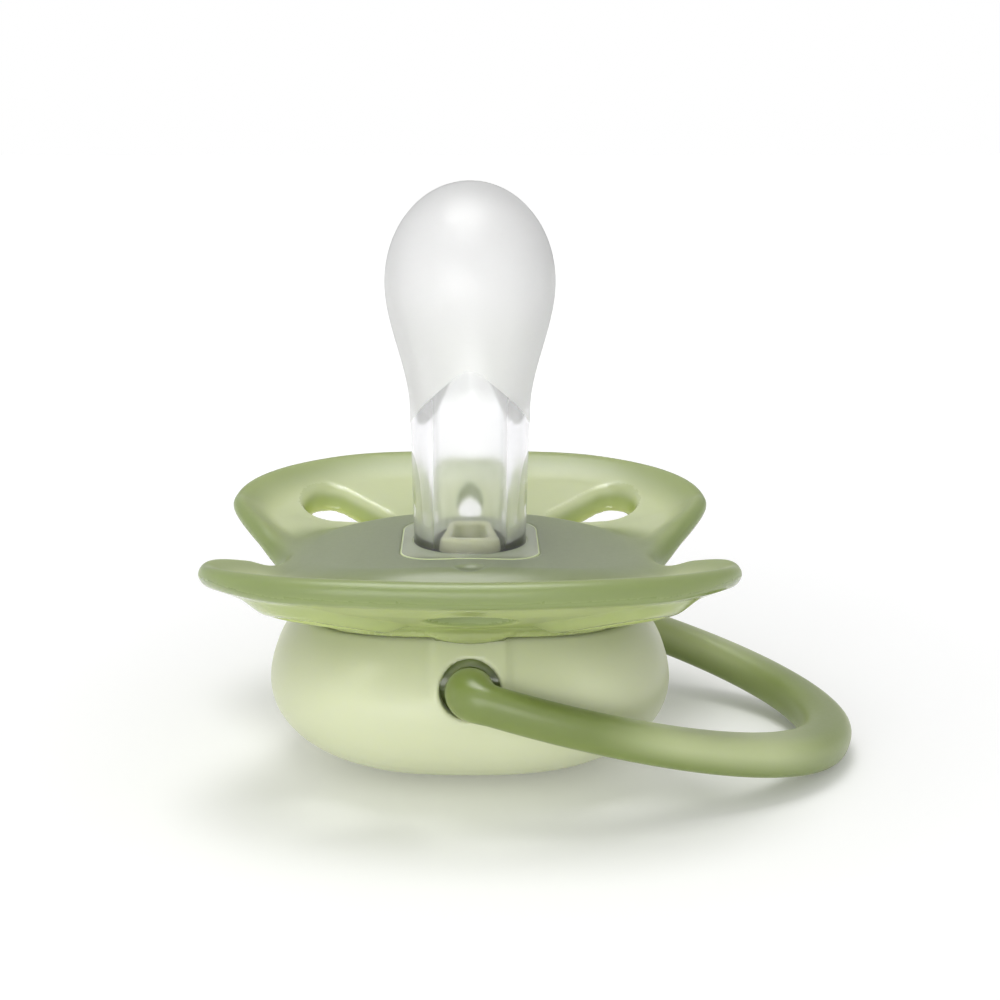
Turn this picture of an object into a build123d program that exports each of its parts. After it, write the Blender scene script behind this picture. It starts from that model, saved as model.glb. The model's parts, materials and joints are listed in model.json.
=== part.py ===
"""A baby's soother, standing on its knob with the teat up and its ring handle folded down to one side.

Five moulded pieces: the shield, the hollow silicone teat, the plug that locks the teat into the
shield, the hollow knob that snaps on behind, and the ring handle that swings in the knob's windows.

Frame, in millimetres: the origin is the middle of the knob's resting flat, +Z runs up along the
teat, +X points to the side where the ring lies, and the ring's hinge axis is parallel to Y.
"""

from build123d import *
from math import acos, cos, degrees, pi, radians, sin, sqrt
import os

# ---- Driving dimensions ------------------------------------------------------------------------

# shield, seen from above: a lobe at each end of Y, with waists that clear the nose and the chin
SHIELD_HALF_WIDTH = 22.0
SHIELD_HALF_LENGTH = 25.3
SHIELD_WAIST = 16.4
LOBE_TIP_Y = 12.4
SHIELD_THICKNESS = 2.3
WAIST_FLARE_X = 18.9
WAIST_FLARE_Y = 5.4
LOBE_SIDE_X = 18.5
LOBE_SIDE_Y = 19.9
LOBE_END_X = 9.2
LOBE_END_Y = 24.6

# shield's upper face: a low mound round the teat, between two bowls with raised rims
MOUND_TOP = 19.1
MOUND_HALF_LENGTH = 11.4
MOUND_SQUARENESS = 2.4
MOUND_SIDE_DROP = 1.6
MOUND_EDGE_START = 0.86
MOUND_EDGE_END = 1.24
BOWL_START = 12.4
BOWL_FLOOR = 17.2
BOWL_RISE_AT_TIP = 3.1
BOWL_RISE_AT_END = 5.0
BOWL_ROUNDING = 1.5
TIP_RISE_LEFT_AT_END = 0.6
WAIST_ROUNDING = 2.0

# collar below the shield, and the spigot that the knob snaps on to
COLLAR_HALF = 14.2
COLLAR_BOTTOM = 13.2
COLLAR_END_LIFT = 1.4
SPIGOT_HALF = 11.6
SPIGOT_WALL = 1.2
SPIGOT_BOTTOM = 12.2
SPIGOT_SLACK = 0.1
SPIGOT_END_GAP = 0.3

# opening in the shield that the teat's base fills
SEAT_LENGTH = 14.2
SEAT_WIDTH = 11.9
SEAT_RADIUS = 3.0

# air holes through the shield: four teardrops, and an oval at each end
DROP_X = 13.2
DROP_Y = 16.3
DROP_RADIUS = 2.8
DROP_TAIL = 5.2
DROP_TAIL_RADIUS = 0.8
DROP_TURN = 12.0
OVAL_Y = 19.0
OVAL_LENGTH = 5.4
OVAL_WIDTH = 7.0

# knob: a pebble of rounded-square section
KNOB_HALF_WIDTH = 17.35
KNOB_HALF_LENGTH = 16.9
KNOB_BELLY = 7.75
KNOB_SHOULDER = 9.33
KNOB_ROUNDING_START = 3.2
KNOB_FLAT_DEPTH = 0.08
KNOB_WALL = 1.5
KNOB_RIM = 13.0
KNOB_RIM_LIFT = 0.9
KNOB_RIM_LIFT_Y = 13.2
WINDOW_RADIUS = 2.55

# hinge of the ring: a pin at each end of the ring, in an ear that hangs from the shield
HINGE_HEIGHT = 10.5
PIN_RADIUS = 1.10
EAR_BORE_RADIUS = 1.15
EAR_WIDTH = 4.0
EAR_OUTER_Y = 13.3
EAR_INNER_Y = 11.7
EAR_ROOT_WIDTH = 6.2
EAR_ROOT_BOTTOM = 13.5
EAR_SLACK = 0.15
POCKET_END_GAP = 0.6

# ring handle: a bar along most of an ellipse
RING_DROOP = 15.2
RING_CENTRE = 6.0
RING_HALF_LENGTH = 26.64
RING_HALF_WIDTH = 18.9
BAR_WIDTHS = (2.7, 3.4, 4.4, 3.4, 2.7)
BAR_HEIGHTS = (3.2, 3.6, 3.8, 3.6, 3.2)
SHOULDER_RADIUS = 2.0
SHOULDER_OUTER_Y = 17.6
SHOULDER_INNER_Y = 13.45

# teat
TEAT_TOP = 50.0
BULB_HEIGHT = 41.5
BULB_HALF_X = 7.27
BULB_HALF_Y = 8.3
NECK_TOP = 30.0
NECK_TOP_HALF_X = 5.17
NECK_TOP_HALF_Y = 6.1
NECK_BASE_HALF_X = 4.86
NECK_BASE_HALF_Y = 5.8
TEAT_WALL = 1.5
FLANGE_HALF_X = 8.2
FLANGE_HALF_Y = 9.4
FLANGE_THICKNESS = 1.5
SEAT_SLACK = 0.1

# plug
PLUG_HALF = 10.3
PLUG_THICKNESS = 1.5
TOWER_WIDTH = 4.8
TOWER_LENGTH = 7.4
TOWER_RADIUS = 1.4
TOWER_WALL = 0.8
TOWER_TOP = 20.0

# how square the sections are: 2 is an ellipse, larger is squarer
KNOB_SQUARENESS = 2.7
TEAT_SQUARENESS = 2.2

# how far a cutting shape runs past what it cuts
CUT_PAST = 1.0

# ---- Heights that follow from the driving dimensions ---------------------------------------------

seat_underside = MOUND_TOP - SHIELD_THICKNESS
flange_underside = seat_underside - FLANGE_THICKNESS
plug_underside = flange_underside - PLUG_THICKNESS
knob_blank_top = KNOB_RIM + 2 * KNOB_RIM_LIFT

os.makedirs("parts", exist_ok=True)


# ---- Shapes that repeat ---------------------------------------------------------------------------

def rounded_square(height, half_x, half_y, squareness):
    """A flat face at a height, between an ellipse and a rectangle."""
    points = []
    for step in range(32):
        angle = 2 * pi * step / 32
        along_x = abs(cos(angle)) ** (2 / squareness) * (1 if cos(angle) > 0 else -1)
        along_y = abs(sin(angle)) ** (2 / squareness) * (1 if sin(angle) > 0 else -1)
        points.append((half_x * along_x, half_y * along_y))
    with BuildSketch(Plane.XY.offset(height)) as face:
        with BuildLine():
            Spline(*points, periodic=True)
        make_face()
    return face.sketch


def stack(sections, squareness):
    """A smooth solid through rounded squares, each given as (height, half_x, half_y)."""
    with BuildPart() as body:
        loft([rounded_square(*section, squareness) for section in sections])
    return body.part


def below_edge(middle, lift, lift_at):
    """Everything under an edge that is lowest at Y = 0 and has risen by lift at Y = lift_at."""
    bottom = -CUT_PAST
    reach = SHIELD_HALF_LENGTH
    ends = middle + lift * (reach / lift_at) ** 2
    with BuildPart() as slab:
        with BuildSketch(Plane.YZ):
            with BuildLine():
                edge = Spline((-reach, ends), (0, middle), (reach, ends))
                Polyline(edge @ 1, (reach, bottom), (-reach, bottom), edge @ 0)
            make_face()
        extrude(amount=SHIELD_HALF_WIDTH, both=True)
    return slab.part


# ---- Shield ---------------------------------------------------------------------------------------

def smooth_step(value, start, end):
    """0 before start, 1 after end, and an even S between them."""
    share = min(max((value - start) / (end - start), 0.0), 1.0)
    return share * share * (3 - 2 * share)


def face_height(x, y):
    """Height of the shield's upper face."""
    mound = MOUND_TOP - MOUND_SIDE_DROP * (x / SHIELD_WAIST) ** 2
    reach = sqrt(y * y + WAIST_ROUNDING**2) - WAIST_ROUNDING
    share = min(reach / (LOBE_TIP_Y - WAIST_ROUNDING), 1.0)
    tip_rise = BOWL_RISE_AT_TIP * (x / SHIELD_HALF_WIDTH) ** 2 * share * (2 - share)
    tip_rise *= 1 - (1 - TIP_RISE_LEFT_AT_END) * smooth_step(abs(y), LOBE_TIP_Y, SHIELD_HALF_LENGTH)
    past = max(0.0, abs(y) - BOWL_START)
    end_rise = sqrt(past**2 + BOWL_ROUNDING**2) - BOWL_ROUNDING
    full_rise = SHIELD_HALF_LENGTH - BOWL_START - BOWL_ROUNDING
    bowl = BOWL_FLOOR + tip_rise + BOWL_RISE_AT_END * end_rise / full_rise
    across = abs(x / SHIELD_WAIST) ** MOUND_SQUARENESS
    along = abs(y / MOUND_HALF_LENGTH) ** MOUND_SQUARENESS
    from_middle = (across + along) ** (1 / MOUND_SQUARENESS)
    return mound + (bowl - mound) * smooth_step(from_middle, MOUND_EDGE_START, MOUND_EDGE_END)


def face_surface(lowered_by):
    """The shield's upper face as one smooth surface, a little larger than the shield."""
    reach_x = SHIELD_HALF_WIDTH + 3
    reach_y = SHIELD_HALF_LENGTH + 3
    rows = []
    for i in range(33):
        x = -reach_x + 2 * reach_x * i / 32
        row = []
        for j in range(41):
            y = -reach_y + 2 * reach_y * j / 40
            row.append(Vector(x, y, face_height(x, y) - lowered_by))
        rows.append(row)
    return Face.make_surface_from_array_of_points(rows, tol=0.02)


def shield_outline():
    """The shield's plan, from a few points of one quarter and their mirror images."""
    quarter = [
        (SHIELD_WAIST, 0),
        (WAIST_FLARE_X, WAIST_FLARE_Y),
        (SHIELD_HALF_WIDTH, LOBE_TIP_Y),
        (LOBE_SIDE_X, LOBE_SIDE_Y),
        (LOBE_END_X, LOBE_END_Y),
        (0, SHIELD_HALF_LENGTH),
    ]
    half = quarter + [(-x, y) for x, y in reversed(quarter[:-1])]
    points = half + [(x, -y) for x, y in reversed(half[1:-1])]
    with BuildSketch() as plan:
        with BuildLine():
            Spline(*points, periodic=True)
        make_face()
    return plan.sketch


def teardrop():
    """Plan of the air hole at +X +Y, its tail turned in towards the teat."""
    with BuildSketch() as plan:
        with Locations((DROP_X, DROP_Y)):
            Circle(DROP_RADIUS)
        tail_x = DROP_X - DROP_TAIL * cos(radians(DROP_TURN))
        tail_y = DROP_Y - DROP_TAIL * sin(radians(DROP_TURN))
        with Locations((tail_x, tail_y)):
            Circle(DROP_TAIL_RADIUS)
        make_hull()
    return plan.sketch


def ear():
    """The ear at +Y: a tongue with a round end, and a wider root under the collar."""
    with BuildPart() as tongue:
        with BuildSketch(Plane.XZ.offset(-EAR_OUTER_Y)):
            with Locations((0, HINGE_HEIGHT)):
                Circle(EAR_WIDTH / 2)
            with Locations((0, (HINGE_HEIGHT + seat_underside) / 2)):
                Rectangle(EAR_WIDTH, seat_underside - HINGE_HEIGHT)
            with Locations((0, (EAR_ROOT_BOTTOM + seat_underside) / 2)):
                Rectangle(EAR_ROOT_WIDTH, seat_underside - EAR_ROOT_BOTTOM)
            with Locations((0, HINGE_HEIGHT)):
                Circle(EAR_BORE_RADIUS, mode=Mode.SUBTRACT)
        extrude(amount=EAR_OUTER_Y - EAR_INNER_Y)
    return tongue.part


# collar and spigot, up to the middle of the shield's plate
with BuildPart() as underside:
    collar = rounded_square(0, COLLAR_HALF, COLLAR_HALF, KNOB_SQUARENESS)
    extrude(collar, amount=2 * MOUND_TOP)
    add(below_edge(COLLAR_BOTTOM, COLLAR_END_LIFT, COLLAR_HALF), mode=Mode.SUBTRACT)
    spigot = rounded_square(SPIGOT_BOTTOM, SPIGOT_HALF, SPIGOT_HALF, KNOB_SQUARENESS)
    extrude(spigot, amount=MOUND_TOP)
    split(bisect_by=face_surface(SHIELD_THICKNESS / 2), keep=Keep.BOTTOM)
    inside = SPIGOT_HALF - SPIGOT_WALL
    chamber = rounded_square(0, inside, inside, KNOB_SQUARENESS)
    extrude(chamber, amount=seat_underside, mode=Mode.SUBTRACT)

with BuildPart() as shield:
    # plate
    extrude(shield_outline(), amount=2 * MOUND_TOP)
    split(bisect_by=face_surface(0), keep=Keep.BOTTOM)
    split(bisect_by=face_surface(SHIELD_THICKNESS), keep=Keep.TOP)
    add(underside.part)
    # recess for the teat's flange
    recess_half_x = FLANGE_HALF_X + SEAT_SLACK
    recess_half_y = FLANGE_HALF_Y + SEAT_SLACK
    recess = rounded_square(plug_underside, recess_half_x, recess_half_y, KNOB_SQUARENESS)
    extrude(recess, amount=seat_underside - plug_underside, mode=Mode.SUBTRACT)
    # ears for the ring's pins
    add(ear())
    add(ear().mirror(Plane.XZ))
    # teat seat
    with BuildSketch():
        RectangleRounded(SEAT_WIDTH, SEAT_LENGTH, SEAT_RADIUS)
    extrude(amount=2 * MOUND_TOP, mode=Mode.SUBTRACT)
    # air holes
    with BuildSketch():
        for drop in (teardrop(), teardrop().mirror(Plane.YZ)):
            add(drop)
            add(drop.mirror(Plane.XZ))
        with Locations((0, OVAL_Y), (0, -OVAL_Y)):
            Ellipse(OVAL_WIDTH / 2, OVAL_LENGTH / 2)
    extrude(amount=2 * MOUND_TOP, mode=Mode.SUBTRACT)


# ---- Teat -----------------------------------------------------------------------------------------

def teat_sections(inset, base):
    """Sections of the teat from base to tip: a slim neck that swells into a rounded bulb."""
    sections = []
    for step in range(8):
        height = base + (BULB_HEIGHT - base) * step / 8
        up_neck = min((height - seat_underside) / (NECK_TOP - seat_underside), 1.0)
        neck_x = NECK_BASE_HALF_X + (NECK_TOP_HALF_X - NECK_BASE_HALF_X) * up_neck
        neck_y = NECK_BASE_HALF_Y + (NECK_TOP_HALF_Y - NECK_BASE_HALF_Y) * up_neck
        swell = smooth_step(height, NECK_TOP, BULB_HEIGHT)
        half_x = neck_x + (BULB_HALF_X - neck_x) * swell - inset
        half_y = neck_y + (BULB_HALF_Y - neck_y) * swell - inset
        sections.append((height, half_x, half_y))
    cap_height = TEAT_TOP - BULB_HEIGHT - inset
    for angle in (0, 20, 40, 55, 68, 78, 86):
        height = BULB_HEIGHT + cap_height * sin(radians(angle))
        half_x = (BULB_HALF_X - inset) * cos(radians(angle))
        half_y = (BULB_HALF_Y - inset) * cos(radians(angle))
        sections.append((height, half_x, half_y))
    return sections


with BuildPart() as teat:
    add(stack(teat_sections(0, seat_underside), TEAT_SQUARENESS))
    # base that fills the shield's seat, and the flange under the shield
    with BuildSketch(Plane.XY.offset(flange_underside)):
        RectangleRounded(SEAT_WIDTH - 2 * SEAT_SLACK, SEAT_LENGTH - 2 * SEAT_SLACK, SEAT_RADIUS)
    extrude(amount=MOUND_TOP - SEAT_SLACK - flange_underside)
    flange = rounded_square(flange_underside, FLANGE_HALF_X, FLANGE_HALF_Y, KNOB_SQUARENESS)
    extrude(flange, amount=FLANGE_THICKNESS)
    # the hollow inside
    add(stack(teat_sections(TEAT_WALL, flange_underside), TEAT_SQUARENESS), mode=Mode.SUBTRACT)


# ---- Plug -----------------------------------------------------------------------------------------

with BuildPart() as plug:
    plate = rounded_square(plug_underside, PLUG_HALF, PLUG_HALF, KNOB_SQUARENESS)
    extrude(plate, amount=PLUG_THICKNESS)
    with BuildSketch(Plane.XY.offset(plug_underside)):
        RectangleRounded(TOWER_WIDTH, TOWER_LENGTH, TOWER_RADIUS)
    extrude(amount=TOWER_TOP - plug_underside)
    with BuildSketch(Plane.XY.offset(flange_underside)):
        inner_width = TOWER_WIDTH - 2 * TOWER_WALL
        inner_length = TOWER_LENGTH - 2 * TOWER_WALL
        RectangleRounded(inner_width, inner_length, TOWER_RADIUS - TOWER_WALL / 2)
    extrude(amount=TOWER_TOP, mode=Mode.SUBTRACT)


# ---- Knob -----------------------------------------------------------------------------------------

def knob_sections(inset, top):
    """Sections of the knob from its underside up over the belly to the shoulder."""
    sections = []
    bottom = inset - KNOB_FLAT_DEPTH
    for angle in (0, 12, 24, 36, 48, 60, 75):
        height = bottom + (KNOB_BELLY - bottom) * (1 - cos(radians(angle)))
        spread = (KNOB_HALF_WIDTH - KNOB_ROUNDING_START) * sin(radians(angle))
        sections.append((height, KNOB_ROUNDING_START + spread))
    for step in range(5):
        height = KNOB_BELLY + (top - KNOB_BELLY) * step / 4
        half = KNOB_HALF_WIDTH * sqrt(1 - ((height - KNOB_BELLY) / KNOB_SHOULDER) ** 2)
        sections.append((height, half))
    flatter = KNOB_HALF_LENGTH / KNOB_HALF_WIDTH
    return [(height, half - inset, half * flatter - inset) for height, half in sections]


with BuildPart() as knob:
    add(stack(knob_sections(0, knob_blank_top), KNOB_SQUARENESS))
    hollow = stack(knob_sections(KNOB_WALL, knob_blank_top + CUT_PAST), KNOB_SQUARENESS)
    add(hollow, mode=Mode.SUBTRACT)
    # straight mouth that snaps over the spigot
    mouth_half = SPIGOT_HALF + SPIGOT_SLACK
    mouth_floor = SPIGOT_BOTTOM - SPIGOT_END_GAP
    mouth = rounded_square(mouth_floor, mouth_half, mouth_half, KNOB_SQUARENESS)
    extrude(mouth, amount=MOUND_TOP, mode=Mode.SUBTRACT)
    add(below_edge(KNOB_RIM, KNOB_RIM_LIFT, KNOB_RIM_LIFT_Y), mode=Mode.INTERSECT)
    # flat that it stands on
    split(bisect_by=Plane.XY, keep=Keep.TOP)
    # pockets for the ears, and the windows for the ring's ends
    pocket_width = EAR_ROOT_WIDTH + 2 * EAR_SLACK
    pocket_bottom = HINGE_HEIGHT - EAR_WIDTH / 2 - POCKET_END_GAP
    with BuildSketch(Plane.XZ.offset(-EAR_OUTER_Y - EAR_SLACK)):
        with Locations((0, pocket_bottom + MOUND_TOP / 2)):
            Rectangle(pocket_width, MOUND_TOP)
    extrude(amount=2 * (EAR_OUTER_Y + EAR_SLACK), mode=Mode.SUBTRACT)
    with BuildSketch(Plane.XZ):
        with Locations((0, HINGE_HEIGHT)):
            Circle(WINDOW_RADIUS)
    extrude(amount=KNOB_HALF_WIDTH + CUT_PAST, both=True, mode=Mode.SUBTRACT)


# ---- Ring handle ------------------------------------------------------------------------------------

droop = radians(RING_DROOP)
hinge_middle = (0, 0, HINGE_HEIGHT)
ring_plane = Plane(
    origin=hinge_middle,
    x_dir=(cos(droop), 0, -sin(droop)),
    z_dir=(sin(droop), 0, cos(droop)),
)
end_angle = degrees(acos(-RING_CENTRE / RING_HALF_LENGTH))

# the end at +Y: a hinge pin in its ear, then a rounded shoulder in the window
with BuildPart() as ring_end:
    with BuildSketch(Plane(origin=hinge_middle, x_dir=(0, 1, 0), z_dir=(1, 0, 0))):
        with BuildLine():
            outline = Polyline(
                (SHOULDER_OUTER_Y, SHOULDER_RADIUS),
                (SHOULDER_INNER_Y, SHOULDER_RADIUS),
                (SHOULDER_INNER_Y, PIN_RADIUS),
                (EAR_INNER_Y, PIN_RADIUS),
                (EAR_INNER_Y, 0),
                (SHOULDER_OUTER_Y + SHOULDER_RADIUS, 0),
            )
            RadiusArc(outline @ 1, outline @ 0, SHOULDER_RADIUS)
        make_face()
    revolve(axis=Axis(hinge_middle, (0, 1, 0)))

with BuildPart() as ring:
    with BuildLine(ring_plane) as spine:
        EllipticalCenterArc(
            (RING_CENTRE, 0),
            RING_HALF_LENGTH,
            RING_HALF_WIDTH,
            start_angle=-end_angle,
            arc_size=2 * end_angle,
        )
    for place, (bar_width, bar_height) in enumerate(zip(BAR_WIDTHS, BAR_HEIGHTS)):
        share = place / (len(BAR_WIDTHS) - 1)
        section_plane = Plane(
            origin=spine.line @ share,
            x_dir=ring_plane.z_dir,
            z_dir=spine.line % share,
        )
        with BuildSketch(section_plane):
            Ellipse(bar_height / 2, bar_width / 2)
    sweep(path=spine.line, multisection=True)
    add(ring_end.part)
    add(ring_end.part.mirror(Plane.XZ))


# ---- Files ------------------------------------------------------------------------------------------

pieces = {"shield": shield, "teat": teat, "plug": plug, "knob": knob, "ring": ring}
for name, piece in pieces.items():
    piece.part.label = name
    export_step(piece.part, f"parts/{name}.step")
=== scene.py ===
"""Looks of the baby's soother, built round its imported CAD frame.

Every piece is a smooth closed mesh. The shield, knob and plug are made from distance fields, so that
all their edges are evenly rounded; the teat and the ring handle are made of lofted sections. Shapes
are worked out in millimetres and turned into metres when a mesh is made.
"""

import json
import math

import bpy
import numpy as np
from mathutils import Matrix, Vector


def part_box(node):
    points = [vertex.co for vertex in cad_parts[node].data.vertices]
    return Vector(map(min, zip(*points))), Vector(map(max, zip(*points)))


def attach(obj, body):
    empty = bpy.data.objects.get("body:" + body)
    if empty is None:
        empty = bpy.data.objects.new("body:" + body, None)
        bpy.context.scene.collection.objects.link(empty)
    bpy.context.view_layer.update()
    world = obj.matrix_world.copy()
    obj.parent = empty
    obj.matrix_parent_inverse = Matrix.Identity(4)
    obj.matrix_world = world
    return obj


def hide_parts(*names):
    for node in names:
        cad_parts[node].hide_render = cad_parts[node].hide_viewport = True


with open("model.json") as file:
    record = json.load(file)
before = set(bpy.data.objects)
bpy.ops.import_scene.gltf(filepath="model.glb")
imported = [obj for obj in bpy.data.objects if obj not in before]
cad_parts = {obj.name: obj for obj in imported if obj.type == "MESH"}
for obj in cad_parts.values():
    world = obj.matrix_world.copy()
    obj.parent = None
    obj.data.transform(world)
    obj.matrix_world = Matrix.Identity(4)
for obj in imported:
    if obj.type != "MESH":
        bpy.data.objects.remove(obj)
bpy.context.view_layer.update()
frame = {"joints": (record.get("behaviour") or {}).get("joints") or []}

MM = 0.001
# half the distance over which a slope is taken, in millimetres and in radians
SLOPE_STEP = 0.05
ANGLE_STEP = 0.01

# ---- Sizes, in millimetres -----------------------------------------------------------------------


def mm_box(node):
    """Lowest and highest corner of a CAD node, in millimetres."""
    low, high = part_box(node)
    return np.array(low) / MM, np.array(high) / MM


shield_low, shield_high = mm_box("shield")
teat_low, teat_high = mm_box("teat")
plug_low, plug_high = mm_box("plug")
_, knob_high = mm_box("knob")
HINGE_HEIGHT = frame["joints"][0]["pos_m"][2] / MM

# shield
HALF_WIDTH = shield_high[0]
HALF_LENGTH = shield_high[1]
WAIST = 16.4
LOBE_TIP_Y = 12.4
PLATE_THICKNESS = 2.3
MOUND_TOP = 19.1
MOUND_HALF_LENGTH = 11.4
MOUND_SQUARENESS = 2.4
MOUND_FOOT_START = 0.86
MOUND_FOOT_END = 1.24
RIM_STEP = 0.9
RIM_STEP_BELOW = 0.2
RIM_STEP_INNER = 4.2
RIM_STEP_OUTER = 0.8
TIP_THINNING = 0.5
HOLE_SURROUND = 0.7
HOLE_SURROUND_REACH = (0.3, 2.6)
MOUND_SIDE_DROP = 1.6
BOWL_START = 12.4
BOWL_FLOOR = 17.2
TIP_RISE = 3.1
TIP_RISE_LEFT_AT_END = 0.6
END_RISE = 5.0
BOWL_ROUNDING = 1.5
WAIST_ROUNDING = 2.0
RIM_TOP_RADIUS = 1.35
RIM_LOW_RADIUS = 0.5
TIP_START = 14.0
TIP_TOP_RADIUS_LESS = 0.4
TIP_LOW_RADIUS_MORE = 0.3
COLLAR_HALF = 14.2
COLLAR_BOTTOM = 13.75
COLLAR_END_LIFT = 1.15
COLLAR_RADIUS = 0.45
COLLAR_FILLET = 0.5
STEP_INSET = 0.55
STEP_BOTTOM = 13.15
STEP_END_LIFT = 1.1
STEP_RADIUS = 0.12
UNDER_THE_FACE = 0.8
SPIGOT_HALF = 11.5
SPIGOT_WALL = 1.2
SPIGOT_BOTTOM = 12.3
SPIGOT_RADIUS = 0.2
SEAT_HALF_X = 5.95
SEAT_HALF_Y = 7.1
SEAT_RADIUS = 3.0
SEAT_EDGE_RADIUS = 0.15
DROP_X = 13.2
DROP_Y = 16.3
DROP_RADIUS = 2.8
DROP_TAIL = 5.2
DROP_TAIL_RADIUS = 0.8
DROP_TURN = math.radians(12.0)
DROP_TAPER = 0.33
DROP_TAPER_DEPTH = 3
DROP_EDGE_RADIUS = 0.4
OVAL_Y = 19.0
OVAL_HALF_X = 3.5
OVAL_HALF_Y = 2.7
OVAL_EDGE_RADIUS = 0.3
DIMPLE_Y = 9.7
DIMPLE_HALF_SIZE = (1.2, 0.7, 0.4)
DIMPLE_FIELD_SCALE = 0.35
DIMPLE_EDGE_RADIUS = 0.1
EAR_HALF_WIDTH = 2.9
EAR_OUTER_Y = 13.35
EAR_LOW_OUTER_Y = 14.5
EAR_INNER_Y = 11.7
EAR_FLARE_HEIGHT = 3.5
EAR_EDGE_RADIUS = 0.25
EAR_ROOT_HALF = 3.75
EAR_ROOT_ARCH_HALF = 3.15
EAR_ROOT_OUTER_Y = 13.9
EAR_ROOT_BOTTOM = 13.6
EAR_ROOT_ARCH = 0.6
PIN_RADIUS = 1.08
PIN_GAP = 0.1
EAR_ROOT_LOW_RADIUS = 0.3
EAR_ROOT_OUTER_RADIUS = 0.4
SHIELD_CELL = 0.26
SHIELD_MARGIN = 0.6

# knob
KNOB_HALF_X = knob_high[0]
KNOB_HALF_Y = knob_high[1]
KNOB_BELLY = 7.75
KNOB_SHOULDER = 9.33
KNOB_FLAT_HALF = 3.2
KNOB_FLAT_DEPTH = 0.08
KNOB_WALL = 1.5
KNOB_RIM = 13.02
KNOB_RIM_LIFT = 1.08
KNOB_INNER_RADIUS = 0.1
KNOB_RIM_RADIUS = 0.25
KNOB_FOOT_RADIUS = 0.3
MOUTH_GAP = 0.15
MOUTH_GAP_BELOW = 0.3
PAD_HALF = 3.1
PAD_HEIGHT = 0.3
PAD_BLEND = 0.4
PAD_FADES_IN = (8.5, 10.5)
POCKET_TOP = 13.1
POCKET_DEPTH = 3.2
POCKET_SIDE_GAP = 0.06
POCKET_OUTER_GAP = 0.1
POCKET_RADIUS = 0.5
WINDOW_HEIGHT = 10.4
WINDOW_HALF_X = 2.5
WINDOW_HALF_Z = 2.25
WINDOW_EDGE_RADIUS = 0.22
SQUARENESS = 2.7
KNOB_CELL = 0.26
KNOB_MARGIN = 0.8

# plug
PLATE_HEIGHT = 1.5
PLATE_INSET = 0.1
TOWER_HALF = (2.4, 3.7)
TOWER_RADIUS = 1.2
TOWER_WALL = 0.8
TOWER_FLARE = 0.12
TOWER_HOLLOW_RADIUS = 0.8
TOWER_TOP_RADIUS = 0.25
TOWER_FILLET = 0.4
TOWER_LIP_RADIUS = 0.2
PLATE_RADIUS = 0.2
PLUG_CELL = 0.2
PLUG_MARGIN = 0.5

# teat
TEAT_TOP = teat_high[2]
TEAT_WALL = 1.45
FLANGE_HEIGHT = 1.5
FLANGE_RADIUS = 0.15
FOOT_FILLET = 0.3
# the edge round the seat, which carries a painted highlight: how far in from its outline, and how far below
# the shield's face
SEAT_EDGE = ((0, 0.35), (0, 0.06), (0.03, 0.02), (0.13, 0.0), (0.2, 0.03))
ARCH_TOP = 34.9
ARCH_SLOPE = 0.98
ARCH_ROUNDING = 0.6
ARCH_SIDE_DROP = 1.1
BULB_SQUARENESS = 2.2
CAVITY_HALF_X = 3.5
CAVITY_HALF_Y = 4.7
BULB_HEIGHT = 41.5
BULB_HALF_X = 7.27
BULB_HALF_Y = 8.3
NECK_TOP = 30.4
NECK_TOP_HALF_X = 5.17
NECK_TOP_HALF_Y = 6.1
NECK_BASE_HALF_X = 4.86
NECK_BASE_HALF_Y = 5.8

# ring handle
RING_CENTRE = 6.0
RING_HALF_LENGTH = 26.64
RING_HALF_WIDTH = 18.9
RING_DROOP = math.radians(15.2)
RING_WIDTH = (1.42, 2.2)
RING_HEIGHT = (1.62, 1.82)
SHOULDER_RADIUS = 2.02
ELBOW_RADIUS = 1.9
STRAIGHT_ROWS = 16
PIN_CHAMFER = 0.1
# how square the section is: 2 is an ellipse
PIN_POWER = 2
ELBOW_POWER_GAIN = 0.4
ARM_POWER = 2.4
ARM_POWER_GAIN = 0.3
# how far from the hinge the upper face gets a painted sheen, and then loses most of it again
SHEEN_FADES_IN = (9.0, 17.0)
SHEEN_FADES_OUT = (24.0, 31.0)
SHEEN_LOSS = 0.8
SHEEN_SIDE = (-0.7, 0.4)

# where the shield's tints and their painted light and shade fade in: height over the face, place on the
# mound, distance from an edge
UPPER_BAND = (-1.2, -0.4)
MOUND_SHADE_BAND = (0.85, 1.15)
LOBE_LIGHT_SHARE_BAND = (1.0, 1.25)
LOBE_LIGHT_EDGE_BAND = (1.0, 4.4)
EDGE_SHADE_BAND = (-1.3, -0.2)
WELL_SHADE_BAND = (0.0, 0.35)

# colours: two for the clouds in each material, and the tints that CLOUD is multiplied by, several of them
# painted light and shade
CLOUD = ((0.95, 0.96, 0.93), (1.0, 1.0, 1.0))
# painted light: the ears seen through the knob's windows get their own copy of the green
EAR_WINDOW_PAINTED_COLOURS = ((0.30, 0.38, 0.13), (0.33, 0.41, 0.15))
KNOB_COLOURS = ((0.58, 0.615, 0.41), (0.61, 0.645, 0.44))
PLUG_COLOURS = ((0.62, 0.64, 0.42), (0.66, 0.68, 0.46))
# painted light and shade: the clear silicone in the seat is coloured with the shield's green and its shade
SEAT_PAINTED_COLOURS = ((0.44, 0.49, 0.33), (0.48, 0.53, 0.36))
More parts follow.
